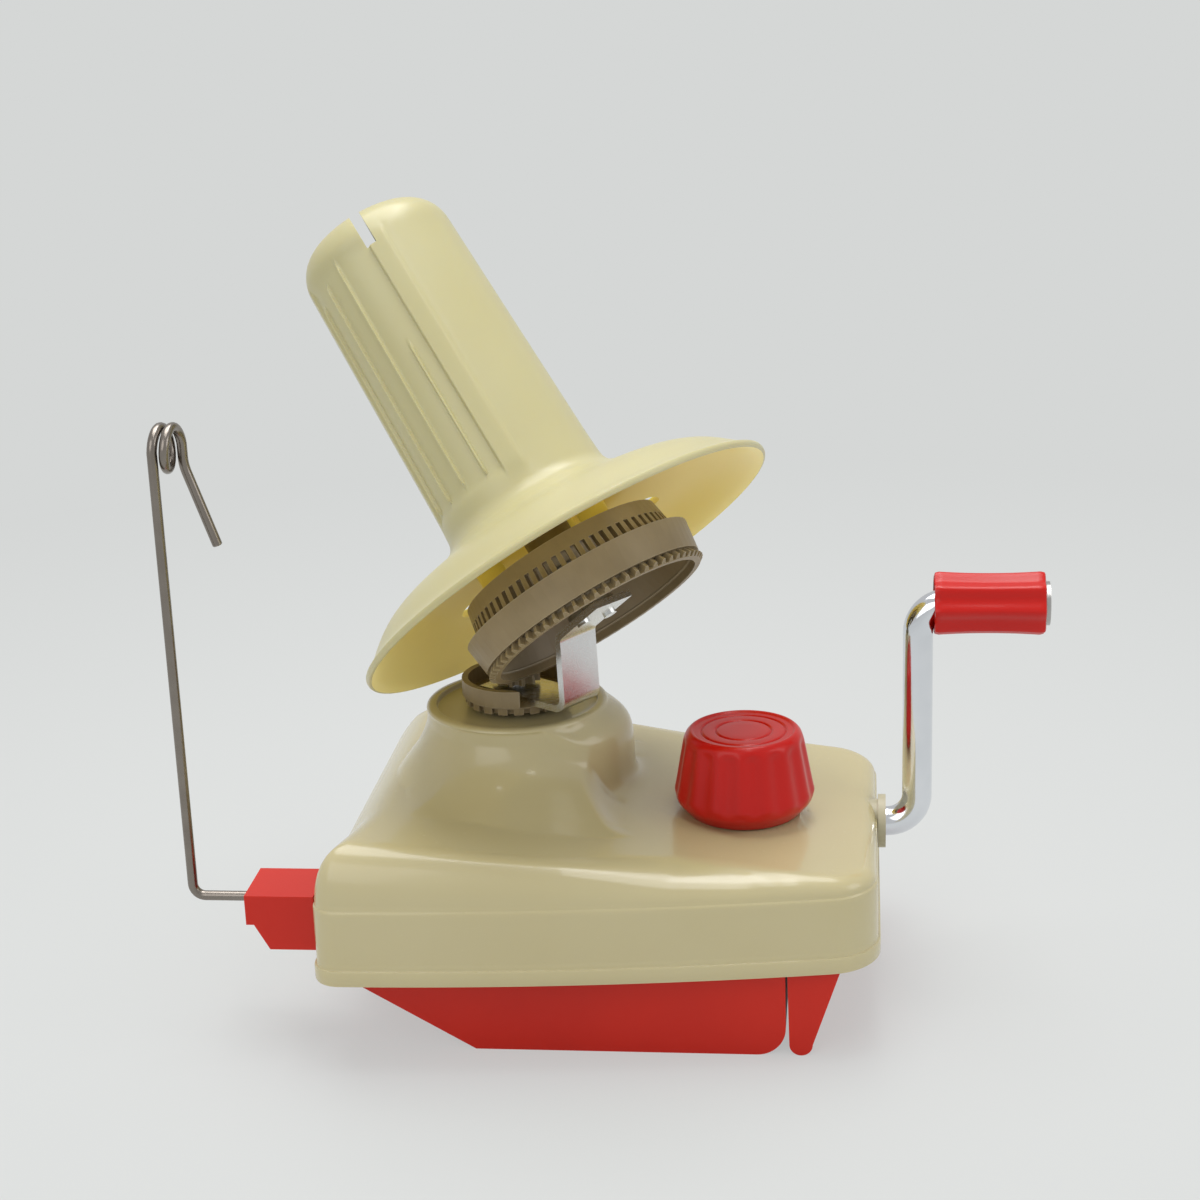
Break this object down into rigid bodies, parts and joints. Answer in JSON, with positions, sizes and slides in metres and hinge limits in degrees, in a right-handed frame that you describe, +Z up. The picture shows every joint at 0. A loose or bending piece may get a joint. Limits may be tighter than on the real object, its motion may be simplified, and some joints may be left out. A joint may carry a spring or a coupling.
{
  "type": "yarn ball winder",
  "caption": "Hand-cranked yarn ball winder: moulded housing, tilted bobbin on a turning bracket, bent-wire yarn guide and screw clamp.",
  "frame": {"origin": "on the surface that the winder stands on, under the middle of the housing", "axes": "+X from the wire guide to the crank, +Y to the back, +Z up"},
  "size_m": [0.2412, 0.1312, 0.2252],
  "materials": {
    "housing_cream": "moulded, gloss",
    "bobbin_cream": "moulded, satin, slightly see-through",
    "red_plastic": "moulded, gloss",
    "gear_brown": "moulded, satin",
    "bright_strip": "bright rolled strip",
    "crank_chrome": "polished",
    "guide_wire_steel": "drawn wire",
    "zinc_steel": "zinc plated",
    "nut_brass": "turned",
    "bush_plastic": "moulded"
  },
  "bodies": {
    "frame": {"upper_housing": "housing_cream", "bottom_cover": "red_plastic", "cover_screw_1": "zinc_steel", "cover_screw_2": "zinc_steel", "cover_screw_3": "zinc_steel", "cover_screw_4": "zinc_steel", "neck_bush": "bush_plastic", "crank_bush": "bush_plastic", "shaft_bearing": "bush_plastic", "fixed_post": "zinc_steel", "sun_pinion": "gear_brown", "guide_holder": "red_plastic"},
    "guide": {"guide_wire": "guide_wire_steel"},
    "crank": {"crank_rod": "crank_chrome", "grip_rivet": "zinc_steel", "shaft_collar": "zinc_steel", "crown_gear": "gear_brown", "gear_pin": "zinc_steel"},
    "grip": {"crank_grip": "red_plastic"},
    "flyer": {"spindle": "gear_brown", "flyer_cup": "gear_brown", "bracket": "bright_strip", "bobbin_axle": "zinc_steel", "arm_rivet_1": "bright_strip", "arm_rivet_2": "bright_strip", "axle_ring": "zinc_steel"},
    "bobbin": {"bobbin": "bobbin_cream", "bobbin_gear": "gear_brown", "gear_screw_1": "zinc_steel", "gear_screw_2": "zinc_steel", "gear_screw_3": "zinc_steel", "bobbin_bush": "bush_plastic"},
    "knob": {"clamp_knob": "red_plastic", "clamp_screw": "zinc_steel", "screw_clip": "zinc_steel"},
    "jaw": {"clamp_jaw": "red_plastic", "jaw_nut": "nut_brass"}
  },
  "joints": [
    {"name": "crank_turn", "type": "hinge", "parent": "frame", "child": "crank", "pos_m": [0.076, 0.0092, 0.04465], "axis": [1, 0, 0], "continuous": true},
    {"name": "grip_spin", "type": "hinge", "parent": "crank", "child": "grip", "pos_m": [0.1072, 0.0092, 0.111], "axis": [1, 0, 0], "continuous": true},
    {"name": "flyer_turn", "type": "hinge", "parent": "frame", "child": "flyer", "pos_m": [-0.0282, 0.0092, 0.082], "axis": [0, 0, 1], "continuous": true},
    {"name": "bobbin_spin", "type": "hinge", "parent": "flyer", "child": "bobbin", "pos_m": [-0.01045, -0.00308, 0.12528], "axis": [-0.5252, 0.3634, 0.7695], "continuous": true},
    {"name": "knob_turn", "type": "hinge", "parent": "frame", "child": "knob", "pos_m": [0.0385, -0.0087, 0.0636], "axis": [0, 0, 1], "range_deg": [0, 2880]},
    {"name": "jaw_slide", "type": "slide", "parent": "frame", "child": "jaw", "axis": [0, 0, -1], "range_m": [0, 0.024]},
    {"name": "guide_swing", "type": "hinge", "parent": "frame", "child": "guide", "pos_m": [-0.0987, -0.0365, 0.0392], "axis": [1, 0, 0], "range_deg": [-90, 90]}
  ],
  "couplings": [
    {"joint": "flyer_turn", "follows": "crank_turn", "ratio": -2.5},
    {"joint": "bobbin_spin", "follows": "crank_turn", "ratio": -0.45455},
    {"joint": "jaw_slide", "follows": "knob_turn", "m_per_rad": 0.00047746}
  ]
}
